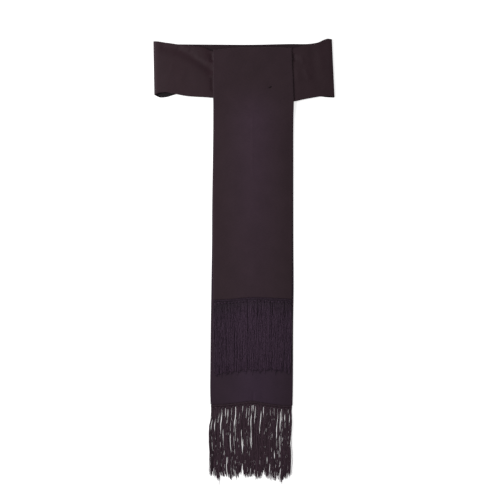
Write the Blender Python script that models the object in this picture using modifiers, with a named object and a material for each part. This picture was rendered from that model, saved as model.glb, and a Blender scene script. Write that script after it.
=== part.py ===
"""Band cincture laid flat on a table.

A waistband loop is pressed flat. A double fall hangs over its front layer: the short fall lies in
front, the long fall passes behind the front layer, and each ends in a fringe of loose strands.

Metres, +Z up. The cloth rests on Z = 0. X runs along the waistband and +Y from the fringe up to it.
In the tables, across is X from the middle of the falls, and drop is how far below the level of the
waistband's upper edge a point lies, along -Y.
"""

import math
import random
from collections import namedtuple

import bmesh
import bpy
from mathutils import Vector

# Driving dimensions
CLOTH = 0.0016  # thickness of the made-up cloth, two layers and an interlining
GAP = 0.0003  # air between pieces that lie on each other
LAYER = CLOTH + GAP
HALF_CLOTH = CLOTH / 2

# Heights of the middle of the cloth, from the table up: the waistband's back layer, the long fall,
# the waistband's front layer where it lies on that fall, and the short fall
BACK = HALF_CLOTH
BEHIND = BACK + LAYER
FRONT = BEHIND + LAYER
BEFORE = FRONT + LAYER

# The folds at the two ends of the flattened loop lean a little, from the lower edge to the upper one
LEFT_FOLD_LOWER, LEFT_FOLD_UPPER = -0.2450, -0.2475
RIGHT_FOLD_LOWER, RIGHT_FOLD_UPPER = 0.2047, 0.1980

# One row for each section of a waistband layer. height is that of the middle of the cloth
BandSection = namedtuple("BandSection", "across upper_drop lower_drop height")
BAND_FRONT = (
    BandSection(-0.2475, -0.0095, 0.1240, 0.0038),
    BandSection(-0.2363, -0.0088, 0.1195, 0.0054),
    BandSection(-0.2188, -0.0060, 0.1185, 0.0058),
    BandSection(-0.2063, -0.0045, 0.1205, 0.0057),
    BandSection(-0.1913, -0.0022, 0.1238, 0.0056),
    BandSection(-0.1688, 0.0004, 0.1278, 0.0056),
    BandSection(-0.1438, 0.0026, 0.1298, 0.0054),
    BandSection(-0.1213, 0.0062, 0.1308, 0.0050),
    BandSection(-0.1063, 0.0126, 0.1320, FRONT),
    BandSection(-0.0985, 0.0150, 0.1330, FRONT),
    BandSection(-0.0763, 0.0130, 0.1355, FRONT),
    BandSection(-0.0313, 0.0093, 0.1385, FRONT),
    BandSection(0.0000, 0.0090, 0.1405, FRONT),
    BandSection(0.0563, 0.0090, 0.1415, FRONT),
    BandSection(0.0980, 0.0094, 0.1412, FRONT),
    BandSection(0.1080, 0.0078, 0.1405, 0.0047),
    BandSection(0.1188, 0.0050, 0.1378, 0.0050),
    BandSection(0.1438, -0.0012, 0.1330, 0.0050),
    BandSection(0.1688, -0.0062, 0.1288, 0.0046),
    BandSection(0.1838, -0.0130, 0.1280, 0.0044),
    BandSection(0.1938, -0.0160, 0.1276, 0.0042),
    BandSection(0.2025, -0.0148, 0.1284, 0.0038),
)
BAND_BACK = (
    BandSection(-0.2475, -0.0095, 0.1255, BACK),
    BandSection(-0.2363, -0.0088, 0.1308, BACK),
    BandSection(-0.2188, -0.0060, 0.1298, BACK),
    BandSection(-0.2063, -0.0045, 0.1262, BACK),
    BandSection(-0.1913, -0.0025, 0.1225, BACK),
    BandSection(-0.1688, -0.0022, 0.1240, BACK),
    BandSection(-0.1000, -0.0017, 0.1290, BACK),
    BandSection(0.0000, -0.0012, 0.1338, BACK),
    BandSection(0.1000, -0.0032, 0.1325, BACK),
    BandSection(0.1438, -0.0032, 0.1290, BACK),
    BandSection(0.1688, -0.0068, 0.1285, BACK),
    BandSection(0.1838, -0.0115, 0.1302, BACK),
    BandSection(0.2025, -0.0148, 0.1312, BACK),
)

# Soft troughs (height below 0) and ridges in the front layer, each along a straight line.
# They die out where the falls press the layer flat
Crease = namedtuple("Crease", "across drop to_across to_drop half_width height")
PRESSED_MIDDLE, PRESSED_HALF_WIDTH, PRESSED_FADE = 0.0025, 0.1050, 0.0120
CREASE_RUN_OUT = 0.15  # share of its length over which a crease fades at each end
BAND_CREASES = (
    Crease(-0.2250, 0.0060, -0.1050, 0.0880, 0.0085, -0.0026),
    Crease(-0.2150, 0.0520, -0.1500, 0.0900, 0.0300, 0.0009),
    Crease(-0.1500, 0.0260, -0.1130, 0.0320, 0.0070, -0.0014),
    Crease(-0.1500, 0.0880, -0.1120, 0.1170, 0.0080, 0.0010),
    Crease(0.1180, 0.0080, 0.1220, 0.0950, 0.0080, -0.0014),
    Crease(0.1260, 0.0480, 0.1520, 0.0880, 0.0080, 0.0012),
    Crease(0.1450, 0.0400, 0.1800, 0.1120, 0.0120, -0.0014),
)

# One row for each section of a fall. lift is the height of the middle of the cloth at its sides,
# and ridge is how much higher the lengthwise crease stands
FallSection = namedtuple("FallSection", "drop left right lift ridge")
LONG_FALL = (
    FallSection(0.020, -0.0985, 0.0980, BEHIND, 0.0),
    FallSection(0.070, -0.0985, 0.1010, BEHIND, 0.0),
    FallSection(0.137, -0.0985, 0.1030, BEHIND, 0.0),
    FallSection(0.146, -0.0983, 0.1028, 0.0024, 0.0005),
    FallSection(0.156, -0.0983, 0.1028, 0.0016, 0.0016),
    FallSection(0.168, -0.0983, 0.1026, 0.0010, 0.0029),
    FallSection(0.182, -0.0983, 0.1026, BACK, 0.0039),
    FallSection(0.225, -0.0985, 0.1023, BACK, 0.0047),
    FallSection(0.300, -0.0995, 0.1023, BACK, 0.0047),
    FallSection(0.400, -0.1010, 0.1023, BACK, 0.0040),
    FallSection(0.500, -0.1015, 0.1025, BACK, 0.0034),
    FallSection(0.600, -0.1030, 0.1030, BACK, 0.0030),
    FallSection(0.700, -0.1045, 0.1018, BACK, 0.0030),
    FallSection(0.800, -0.1055, 0.1015, BACK, 0.0034),
    FallSection(0.860, -0.1060, 0.1010, BACK, 0.0040),
    FallSection(0.897, -0.1050, 0.1002, BACK, 0.0044),
)
SHORT_FALL = (
    FallSection(0.008, -0.0985, 0.0980, BEFORE, 0.0),
    FallSection(0.060, -0.0985, 0.1000, BEFORE, 0.0),
    FallSection(0.138, -0.0982, 0.1035, BEFORE, 0.0003),
    FallSection(0.150, -0.0980, 0.1033, 0.0062, 0.0008),
    FallSection(0.162, -0.0980, 0.1030, 0.0052, 0.0019),
    FallSection(0.175, -0.0980, 0.1026, 0.0040, 0.0032),
    FallSection(0.190, -0.0980, 0.1022, 0.0030, 0.0041),
    FallSection(0.210, -0.0982, 0.1020, BEHIND, 0.0047),
    FallSection(0.300, -0.0985, 0.1010, BEHIND, 0.0047),
    FallSection(0.400, -0.0985, 0.1005, BEHIND, 0.0040),
    FallSection(0.500, -0.0985, 0.0995, BEHIND, 0.0034),
    FallSection(0.600, -0.0980, 0.0985, BEHIND, 0.0030),
    FallSection(0.636, -0.0975, 0.0980, BEHIND, 0.0030),
)
# The cross-section of the ridge: a soft dome with the lengthwise crease at its top
RidgePoint = namedtuple("RidgePoint", "across share")
RIDGE = (
    RidgePoint(-0.100, 0.00),
    RidgePoint(-0.080, 0.20),
    RidgePoint(-0.060, 0.43),
    RidgePoint(-0.040, 0.66),
    RidgePoint(-0.020, 0.86),
    RidgePoint(0.003, 1.00),
    RidgePoint(0.030, 0.885),
    RidgePoint(0.050, 0.76),
    RidgePoint(0.070, 0.61),
    RidgePoint(0.083, 0.46),
    RidgePoint(0.1015, 0.00),
)

# The hems are not quite straight: the crease draws their middle up
HemPoint = namedtuple("HemPoint", "across drop")
LONG_HEM = (
    HemPoint(-0.106, 0.8990),
    HemPoint(-0.070, 0.8975),
    HemPoint(-0.030, 0.8930),
    HemPoint(0.000, 0.8895),
    HemPoint(0.024, 0.8935),
    HemPoint(0.058, 0.8985),
    HemPoint(0.102, 0.9020),
)
SHORT_HEM = (
    HemPoint(-0.099, 0.6370),
    HemPoint(-0.055, 0.6350),
    HemPoint(-0.030, 0.6325),
    HemPoint(0.000, 0.6305),
    HemPoint(0.035, 0.6315),
    HemPoint(0.100, 0.6350),
)
SEAM_BEHIND_BAND = 0.012  # how far the turned-over cloth reaches behind the front layer
SLACK_OVER_EDGE = 0.0004  # from the front layer's upper edge to the middle of the turn over it

# Fringe: a header strip sewn below the hem, and two rows of strands that lie on each other
HEADER_DEPTH = 0.0100
HEADER_THICKNESS = 0.0026
HEADER_INSET = 0.0015  # at each side of the hem
STRANDS_IN_ROW = 52
STRAND_RADIUS = 0.00085
ROW_STEP = 2 * STRAND_RADIUS + GAP
STRAND_LIFT = 0.00015  # a strand's lowest line above what it lies on
ROOT_IN_HEADER = 0.0020
FRINGE_SETTLE = 0.030  # the length over which a fringe comes down from the crease of its hem
SIDE_WOBBLE = 0.00060
LENGTH_WOBBLE = 0.0045
TIP_SHARE = 0.45

# How far the strands at the two sides stray sideways, at that drop below the hem
Stray = namedtuple("Stray", "below left right")
LONG_STRAY = (
    Stray(0.000, 0.0000, 0.0000),
    Stray(0.030, -0.0005, -0.0005),
    Stray(0.055, -0.0045, -0.0010),
    Stray(0.095, -0.0040, -0.0025),
    Stray(0.125, -0.0020, -0.0010),
    Stray(0.165, -0.0025, -0.0020),
    Stray(0.190, 0.0010, -0.0050),
)
SHORT_STRAY = (
    Stray(0.000, 0.0000, 0.0000),
    Stray(0.060, -0.0012, 0.0010),
    Stray(0.110, 0.0012, 0.0008),
    Stray(0.170, 0.0004, -0.0020),
)
# How long the fringe hangs at that place along the hem
Length = namedtuple("Length", "across length")
LONG_LENGTHS = (
    Length(-0.105, 0.1800),
    Length(-0.080, 0.1825),
    Length(-0.060, 0.1740),
    Length(-0.030, 0.1770),
    Length(-0.020, 0.1720),
    Length(0.000, 0.1800),
    Length(0.030, 0.1760),
    Length(0.060, 0.1840),
    Length(0.078, 0.1900),
    Length(0.100, 0.1720),
)
SHORT_LENGTHS = (
    Length(-0.098, 0.1800),
    Length(-0.060, 0.1775),
    Length(0.000, 0.1770),
    Length(0.030, 0.1760),
    Length(0.098, 0.1750),
)
# Where the strands part and show what lies behind them
Parting = namedtuple("Parting", "across below to_below half_width")
LONG_PARTINGS = (
    Parting(0.0000, 0.008, 0.112, 0.0017),
    Parting(0.0713, 0.020, 0.120, 0.0014),
    Parting(0.0825, 0.030, 0.080, 0.0012),
    Parting(-0.0613, 0.015, 0.060, 0.0012),
    Parting(-0.0613, 0.140, 0.185, 0.0020),
    Parting(-0.0212, 0.155, 0.185, 0.0016),
    Parting(0.0740, 0.150, 0.185, 0.0014),
)
SHORT_PARTINGS = (
    Parting(-0.0750, 0.010, 0.040, 0.0012),
    Parting(0.0500, 0.005, 0.045, 0.0012),
)
PARTING_REACH = 0.010  # how far to each side a parting is felt
PARTING_FADE = 0.018  # the length over which it opens and closes

COLLECTION_NAME = "band_cincture"
SMOOTH_ANGLE = math.radians(40)
CLOTH_COLOUR = (0.036, 0.022, 0.027, 1.0)
FRINGE_COLOUR = (0.030, 0.018, 0.026, 1.0)


def eased(share):
    """0 to 1 with level ends."""
    share = min(1.0, max(0.0, share))
    return share * share * (3 - 2 * share)


def mixed(low, high, share):
    return low + (high - low) * share


def along(rows, column, place):
    """The value of a named column at a place in a table's first column, on a smooth curve through its rows."""
    key = rows[0]._fields[0]
    places = [getattr(row, key) for row in rows]
    values = [getattr(row, column) for row in rows]
    place = min(max(place, places[0]), places[-1])
    last = len(rows) - 1
    i = next(k for k in range(last) if place <= places[k + 1])

    def slope(k):
        before, after = max(0, k - 1), min(last, k + 1)
        return (values[after] - values[before]) / (places[after] - places[before])

    span = places[i + 1] - places[i]
    t = (place - places[i]) / span
    return (
        values[i] * (1 + 2 * t) * (1 - t) ** 2
        + slope(i) * span * t * (1 - t) ** 2
        + values[i + 1] * t * t * (3 - 2 * t)
        - slope(i + 1) * span * t * t * (1 - t)
    )


def crease_height(creases, across, drop):
    """What the creases add to the cloth's height at a point."""
    total = 0.0
    for crease in creases:
        start = Vector((crease.across, crease.drop))
        run = Vector((crease.to_across, crease.to_drop)) - start
        offset = Vector((across, drop)) - start
        share = offset.dot(run) / run.length_squared
        aside = (offset - run * share).length
        fade_in = eased((share + CREASE_RUN_OUT) / (2 * CREASE_RUN_OUT))
        fade_out = eased((1 + CREASE_RUN_OUT - share) / (2 * CREASE_RUN_OUT))
        total += crease.height * fade_in * fade_out * math.exp(-((aside / crease.half_width) ** 2))
    return total


def ridge_share(across):
    """How much of the ridge's height a fall has at a place across it."""
    return along(RIDGE, "share", across)


def new_object(name, mesh, collection):
    obj = bpy.data.objects.new(name, mesh)
    collection.objects.link(obj)
    return obj


def shaped_grid(name, columns, rows, place, joins_itself=False):
    """A mesh from a flat grid whose point (column, row) goes to place(column, row)."""
    bm = bmesh.new()
    bmesh.ops.create_grid(bm, x_segments=columns, y_segments=rows, size=1.0)
    for vert in bm.verts:
        column = round((vert.co.x + 1) / 2 * columns)
        row = round((vert.co.y + 1) / 2 * rows)
        vert.co = place(column, row)
    if joins_itself:
        bmesh.ops.remove_doubles(bm, verts=bm.verts, dist=1e-6)
    mesh = bpy.data.meshes.new(name)
    bm.to_mesh(mesh)
    bm.free()
    return mesh


def give_thickness(obj, thickness):
    """The grid is the middle of the cloth: half of the thickness goes to each side."""
    wall = obj.modifiers.new("cloth wall", "SOLIDIFY")
    wall.thickness = thickness
    wall.offset = 0.0
    wall.use_even_offset = True


def finish(obj, material, parent):
    obj.data.materials.append(material)
    obj.data.shade_smooth()
    obj.data.set_sharp_from_angle(angle=SMOOTH_ANGLE)
    obj.parent = parent
    return obj


def cloth_material(name, colour, roughness):
    material = bpy.data.materials.new(name)
    material.use_nodes = True
    shader = material.node_tree.nodes["Principled BSDF"]
    shader.inputs["Base Color"].default_value = colour
    shader.inputs["Roughness"].default_value = roughness
    shader.inputs["Metallic"].default_value = 0.0
    return material


# Waistband

FRONT_COLUMNS, BACK_COLUMNS, FOLD_STEPS, BAND_ROWS = 36, 12, 4, 8
FOLD_ZONE = 0.05  # share of the front layer at each end where the fold keeps it smooth


def fold_place(row_share, right):
    """X of a fold's outermost middle line, from the waistband's lower edge (0) to its upper one (1)."""
    if right:
        return mixed(RIGHT_FOLD_LOWER, RIGHT_FOLD_UPPER, row_share)
    return mixed(LEFT_FOLD_LOWER, LEFT_FOLD_UPPER, row_share)


def loop_stations():
    """Round the loop: how far along it lies, 0 left to 1 right, and the angle, 90 front and -90 back."""
    stations = [(i / FRONT_COLUMNS, 90.0) for i in range(FRONT_COLUMNS + 1)]
    stations += [(1.0, 90.0 - 180.0 * i / FOLD_STEPS) for i in range(1, FOLD_STEPS)]
    stations += [(1 - i / BACK_COLUMNS, -90.0) for i in range(BACK_COLUMNS + 1)]
    stations += [(0.0, -90.0 + 180.0 * i / FOLD_STEPS) for i in range(1, FOLD_STEPS)]
    stations.append(stations[0])
    return stations


def band_point(station, row_share):
    """A point in the middle of the waistband's cloth."""
    along_share, angle = station
    first, last = BAND_FRONT[0].across, BAND_FRONT[-1].across
    across = mixed(first, last, along_share)
    front_share = (1 + math.sin(math.radians(angle))) / 2
    upper = mixed(along(BAND_BACK, "upper_drop", across), along(BAND_FRONT, "upper_drop", across), front_share)
    lower = mixed(along(BAND_BACK, "lower_drop", across), along(BAND_FRONT, "lower_drop", across), front_share)
    drop = mixed(lower, upper, row_share)
    radius = (along(BAND_FRONT, "height", across) - HALF_CLOTH) / 2
    left = fold_place(row_share, right=False) + (BAND_FRONT[0].height - HALF_CLOTH) / 2
    right = fold_place(row_share, right=True) - (BAND_FRONT[-1].height - HALF_CLOTH) / 2
    outwards = math.cos(math.radians(angle)) * radius * (1 if along_share > 0.5 else -1)
    height = HALF_CLOTH + 2 * radius * front_share
    if angle == 90.0:
        clear_of_folds = eased(min(along_share, 1 - along_share) / FOLD_ZONE)
        clear_of_falls = eased((abs(across - PRESSED_MIDDLE) - PRESSED_HALF_WIDTH) / PRESSED_FADE)
        height += crease_height(BAND_CREASES, across, drop) * clear_of_folds * clear_of_falls
    return Vector((mixed(left, right, along_share) + outwards, -drop, height))


def build_waistband(collection, parent, material):
    stations = loop_stations()
    mesh = shaped_grid(
        "waistband",
        len(stations) - 1,
        BAND_ROWS,
        lambda column, row: band_point(stations[column], row / BAND_ROWS),
        joins_itself=True,
    )
    obj = new_object("waistband", mesh, collection)
    give_thickness(obj, CLOTH)
    return finish(obj, material, parent)


# Falls

FALL_COLUMNS = 12
WRAP_STEPS = 6
LONGEST_STEP = 0.05


def fall_drops(sections):
    """The drops at which a fall has a row of points: its sections, and even steps in the long stretches."""
    drops = [sections[0].drop]
    for section in sections[1:]:
        span = section.drop - drops[-1]
        steps = math.ceil(span / LONGEST_STEP)
        drops += [drops[-1] + span * (i + 1) / steps for i in range(steps)]
    return drops


def fall_point(sections, hem, drop, side_share):
    """A point of a fall at a section's drop, from its left side (0) to its right one (1)."""
    across = mixed(along(sections, "left", drop), along(sections, "right", drop), side_share)
    start = sections[0].drop
    stretch = (along(hem, "drop", across) - start) / (sections[-1].drop - start)
    height = along(sections, "lift", drop) + along(sections, "ridge", drop) * ridge_share(across)
    return Vector((across, -(start + (drop - start) * stretch), height))


def band_edge_drop(across):
    """The drop of the line that the falls turn round, just above the front layer's upper edge."""
    return along(BAND_FRONT, "upper_drop", across) - SLACK_OVER_EDGE


def build_long_fall(collection, parent, material):
    drops = fall_drops(LONG_FALL)

    def place(column, row):
        side_share = column / FALL_COLUMNS
        if row == len(drops) - 1:
            across = mixed(LONG_FALL[0].left, LONG_FALL[0].right, side_share)
            top = band_edge_drop(across) + SEAM_BEHIND_BAND + GAP
            return Vector((across, -top, LONG_FALL[0].lift))
        return fall_point(LONG_FALL, LONG_HEM, drops[len(drops) - 1 - row], side_share)

    obj = new_object("fall_long", shaped_grid("fall_long", FALL_COLUMNS, len(drops) - 1, place), collection)
    give_thickness(obj, CLOTH)
    return finish(obj, material, parent)


def build_short_fall(collection, parent, material):
    drops = fall_drops(SHORT_FALL)[1:]
    drop_rows = len(drops)

    def place(column, row):
        side_share = column / FALL_COLUMNS
        if row < drop_rows:
            return fall_point(SHORT_FALL, SHORT_HEM, drops[drop_rows - 1 - row], side_share)
        across = mixed(SHORT_FALL[0].left, SHORT_FALL[0].right, side_share)
        edge = band_edge_drop(across)
        step = row - drop_rows
        if step > WRAP_STEPS:
            return Vector((across, -(edge + SEAM_BEHIND_BAND), BEHIND))
        angle = math.radians(90.0 - 180.0 * step / WRAP_STEPS)
        return Vector((across, -edge + LAYER * math.cos(angle), FRONT + LAYER * math.sin(angle)))

    rows = drop_rows + WRAP_STEPS + 1
    obj = new_object("fall_short", shaped_grid("fall_short", FALL_COLUMNS, rows, place), collection)
    give_thickness(obj, CLOTH)
    return finish(obj, material, parent)


# Fringes

FringeKind = namedtuple("FringeKind", "name hem sections on_long_fall stray lengths partings seed")
HEADER_COLUMNS = 12
STRAND_STATIONS = (0.12, 0.38, 0.68, 1.0)


def ground_height(kind, across, below):
    """The height of what a fringe lies on: the table, or the long fall with its crease."""
    if kind.on_long_fall:
        drop = kind.hem[0].drop + below
        return LAYER + along(LONG_FALL, "ridge", drop) * ridge_share(across)
    hem_ridge = kind.sections[-1].ridge * ridge_share(across)
    return hem_ridge * (1 - eased(below / FRINGE_SETTLE))


def parted(partings, across, below):
    """How far the partings push a strand aside."""
    total = 0.0
    for parting in partings:
        aside = across - parting.across
        opening = eased((below - parting.below) / PARTING_FADE + 0.5)
        closing = eased((parting.to_below - below) / PARTING_FADE + 0.5)
        push = parting.half_width * math.exp(-abs(aside) / PARTING_REACH)
        total += opening * closing * math.copysign(push, aside)
    return total


def header_ends(kind):
    return kind.sections[-1].left + HEADER_INSET, kind.sections[-1].right - HEADER_INSET


def strand_points(kind, row, index, rng):
    """The middle line of one strand, from inside the header to its tip."""
    first, last = header_ends(kind)
    share = (index + 0.5 + 0.5 * row) / (STRANDS_IN_ROW + 0.5)
    root = mixed(first, last, share)
    length = along(kind.lengths, "length", root) + rng.uniform(-1, 1) * LENGTH_WOBBLE
    header_end = HEADER_DEPTH + GAP
    hem_drop = along(kind.hem, "drop", root)
    height = STRAND_LIFT + STRAND_RADIUS + row * ROW_STEP
    inside = header_end - ROOT_IN_HEADER
    points = [Vector((root, -(hem_drop + inside), ground_height(kind, root, inside) + height))]
    for station in STRAND_STATIONS:
        below = header_end + station * (length - header_end)
        stray = mixed(along(kind.stray, "left", below), along(kind.stray, "right", below), share)
        wobble = rng.uniform(-1, 1) * SIDE_WOBBLE
        across = root + stray + wobble + parted(kind.partings, root, below)
        points.append(Vector((across, -(hem_drop + below), ground_height(kind, across, below) + height)))
    return points


def strands_mesh(kind, helpers):
    """All strands of a fringe as one mesh of separate four-sided rods, tapered at their tips."""
    rng = random.Random(kind.seed)
    curve = bpy.data.curves.new(kind.name + "_strands", "CURVE")
    curve.dimensions = "3D"
    curve.bevel_depth = STRAND_RADIUS
    curve.bevel_resolution = 0
    curve.use_fill_caps = True
    for row in range(2):
        for index in range(STRANDS_IN_ROW):
            points = strand_points(kind, row, index, rng)
            spline = curve.splines.new("POLY")
            spline.points.add(len(points) - 1)
            for point, place in zip(spline.points, points):
                point.co = (*place, 1.0)
            spline.points[-1].radius = TIP_SHARE
    rods = new_object(kind.name + "_rods", curve, helpers)
    evaluated = rods.evaluated_get(bpy.context.evaluated_depsgraph_get())
    mesh = bpy.data.meshes.new_from_object(evaluated)
    bpy.data.objects.remove(rods)
    bm = bmesh.new()
    bm.from_mesh(mesh)
    bmesh.ops.remove_doubles(bm, verts=bm.verts, dist=1e-6)
    bmesh.ops.recalc_face_normals(bm, faces=bm.faces)
    bm.to_mesh(mesh)
    bm.free()
    return mesh


def build_fringe(kind, collection, helpers, parent, material):
    """The header strip follows the hem, and the strands' roots are fused into it."""

    def place(column, row):
        across = mixed(*header_ends(kind), column / HEADER_COLUMNS)
        below = GAP + HEADER_DEPTH * (1 - row)
        height = ground_height(kind, across, below) + STRAND_LIFT + STRAND_RADIUS + ROW_STEP / 2
        return Vector((across, -(along(kind.hem, "drop", across) + below), height))

    obj = new_object(kind.name, shaped_grid(kind.name, HEADER_COLUMNS, 1, place), collection)
    give_thickness(obj, HEADER_THICKNESS)
    strands = new_object(kind.name + "_strands", strands_mesh(kind, helpers), helpers)
    strands.hide_render = True
    strands.display_type = "WIRE"
    join = obj.modifiers.new("fused roots", "BOOLEAN")
    join.operation = "UNION"
    join.solver = "EXACT"
    join.object = strands
    strands.parent = parent
    return finish(obj, material, parent)


LONG_FRINGE = FringeKind(
    "fringe_long", LONG_HEM, LONG_FALL, False, LONG_STRAY, LONG_LENGTHS, LONG_PARTINGS, 11
)
SHORT_FRINGE = FringeKind(
    "fringe_short", SHORT_HEM, SHORT_FALL, True, SHORT_STRAY, SHORT_LENGTHS, SHORT_PARTINGS, 23
)


def put_origin_below_middle(parent, parts):
    """Moves everything so that the origin is below the middle of the whole, on the table."""
    bpy.context.view_layer.update()
    graph = bpy.context.evaluated_depsgraph_get()
    corners = [Vector(corner) for part in parts for corner in part.evaluated_get(graph).bound_box]
    for axis in (0, 1):
        values = [corner[axis] for corner in corners]
        parent.location[axis] = -(min(values) + max(values)) / 2


def main():
    for obj in list(bpy.data.objects):
        bpy.data.objects.remove(obj)
    collection = bpy.data.collections.new(COLLECTION_NAME)
    helpers = bpy.data.collections.new("helpers")
    bpy.context.scene.collection.children.link(collection)
    bpy.context.scene.collection.children.link(helpers)
    parent = new_object("cincture", None, collection)
    cloth = cloth_material("black_faille", CLOTH_COLOUR, 0.62)
    yarn = cloth_material("fringe_yarn", FRINGE_COLOUR, 0.7)
    parts = [
        build_waistband(collection, parent, cloth),
        build_long_fall(collection, parent, cloth),
        build_short_fall(collection, parent, cloth),
        build_fringe(LONG_FRINGE, collection, helpers, parent, yarn),
        build_fringe(SHORT_FRINGE, collection, helpers, parent, yarn),
    ]
    put_origin_below_middle(parent, parts)


main()
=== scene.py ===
"""The looks of a band cincture laid flat: its ribbed cloth, its creases and its knotted fringes.

Metres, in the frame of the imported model. In the tables, across is X from the middle of the falls,
and drop is how far below the level of the waistband's upper edge a point lies, along -Y.
"""

import math
import random
from collections import namedtuple

import bmesh
import bpy
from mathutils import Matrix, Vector, noise


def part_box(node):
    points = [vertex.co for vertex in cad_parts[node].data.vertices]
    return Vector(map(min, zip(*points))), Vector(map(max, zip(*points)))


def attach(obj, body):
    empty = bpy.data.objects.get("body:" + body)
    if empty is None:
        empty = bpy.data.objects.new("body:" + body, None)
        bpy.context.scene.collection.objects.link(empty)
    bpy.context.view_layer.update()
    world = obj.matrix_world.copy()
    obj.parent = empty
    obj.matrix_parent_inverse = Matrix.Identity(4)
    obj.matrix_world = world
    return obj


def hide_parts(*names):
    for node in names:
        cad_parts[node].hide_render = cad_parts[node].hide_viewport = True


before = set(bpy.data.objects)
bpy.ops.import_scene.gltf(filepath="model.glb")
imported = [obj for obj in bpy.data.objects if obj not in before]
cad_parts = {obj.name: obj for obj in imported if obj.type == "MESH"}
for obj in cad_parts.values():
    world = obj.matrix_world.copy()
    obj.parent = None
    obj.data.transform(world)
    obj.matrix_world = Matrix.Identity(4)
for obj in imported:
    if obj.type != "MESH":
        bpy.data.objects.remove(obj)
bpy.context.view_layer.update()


def table(columns, *rows):
    """Rows whose columns have names."""
    kind = namedtuple("Row", columns)
    return tuple(kind(*row) for row in rows)


def curve(*points):
    """A smooth function through points, each a place and its value."""
    places, values = zip(*points)
    last = len(places) - 1
    slopes = []
    for k in range(len(places)):
        before, after = max(0, k - 1), min(last, k + 1)
        slopes.append((values[after] - values[before]) / (places[after] - places[before]))

    def value(place):
        place = min(max(place, places[0]), places[-1])
        i = next(k for k in range(last) if place <= places[k + 1])
        span = places[i + 1] - places[i]
        t = (place - places[i]) / span
        return (
            values[i] * (1 + 2 * t) * (1 - t) ** 2
            + slopes[i] * span * t * (1 - t) ** 2
            + values[i + 1] * t * t * (3 - 2 * t)
            - slopes[i + 1] * span * t * t * (1 - t)
        )

    return value


def curves_through(rows):
    """Each column of a table after the first, as a smooth function of the first."""
    places, *columns = zip(*rows)
    return [curve(*zip(places, values)) for values in columns]


# The frame's own places: the left end of the flattened loop and the peak of its right corner
LOOP_END_ACROSS = -0.2483
CORNER_RISE = 0.0152
loop_low, loop_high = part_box("waistband")
FALLS_X = loop_low.x - LOOP_END_ACROSS
LEVEL_Y = loop_high.y - CORNER_RISE

# Cloth
CLOTH = 0.0016  # two layers of faille and an interlining
GAP = 0.0003
LAYER = CLOTH + GAP
HALF_CLOTH = CLOTH / 2
SHELL = 0.0014  # drawn a little thinner, so that the creases stay clear of the next layer

# The height of each layer's middle, from the waistband's back layer to the short fall
BACK = HALF_CLOTH
BEHIND = BACK + LAYER
FRONT = BEHIND + LAYER
BEFORE = FRONT + LAYER

# X of each fold's outermost middle line, at the waistband's lower edge and at its upper one
LEFT_FOLD, RIGHT_FOLD = (-0.245, -0.2475), (0.2047, 0.198)

BAND_FRONT = table(
    "across upper_drop lower_drop height",
    (-0.2475, -0.0095, 0.124, 0.0038),
    (-0.244, -0.0094, 0.1223, 0.005),
    (-0.2363, -0.0088, 0.1195, 0.0054),
    (-0.2188, -0.006, 0.1185, 0.0058),
    (-0.2063, -0.0045, 0.1205, 0.0057),
    (-0.1913, -0.0022, 0.1238, 0.0056),
    (-0.1688, 0.0004, 0.1278, 0.0056),
    (-0.1438, 0.0026, 0.1298, 0.0054),
    (-0.1213, 0.0062, 0.1308, 0.005),
    (-0.1063, 0.0126, 0.132, FRONT),
    (-0.0985, 0.015, 0.133, FRONT),
    (-0.0763, 0.013, 0.1355, FRONT),
    (-0.0563, 0.0106, 0.137, FRONT),
    (-0.0313, 0.0093, 0.1385, FRONT),
    (0.0, 0.009, 0.1405, FRONT),
    (0.0563, 0.009, 0.1415, FRONT),
    (0.098, 0.0094, 0.1412, FRONT),
    (0.108, 0.0078, 0.1405, 0.0047),
    (0.1188, 0.005, 0.1378, 0.005),
    (0.1438, -0.0012, 0.133, 0.005),
    (0.1688, -0.0062, 0.1288, 0.0046),
    (0.1838, -0.013, 0.128, 0.0044),
    (0.1938, -0.016, 0.1276, 0.0042),
    (0.2025, -0.0148, 0.1284, 0.0038),
)
BAND_BACK = table(
    "across upper_drop lower_drop",
    (-0.2475, -0.0095, 0.1255),
    (-0.2363, -0.0088, 0.1308),
    (-0.2188, -0.006, 0.1298),
    (-0.2063, -0.0045, 0.1262),
    (-0.1913, -0.0025, 0.1225),
    (-0.1688, -0.0022, 0.124),
    (-0.1, -0.0017, 0.129),
    (0.0, -0.0012, 0.1338),
    (0.1, -0.0032, 0.1325),
    (0.1438, -0.0032, 0.129),
    (0.1688, -0.0068, 0.1285),
    (0.1838, -0.0115, 0.1302),
    (0.2025, -0.0148, 0.1312),
)

# Soft troughs (height below 0) and ridges, each along a straight line
CREASE_COLUMNS = "across drop to_across to_drop half_width height"
CREASE_RUN_OUT = 0.15  # share of its length over which a crease fades at each end
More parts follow.
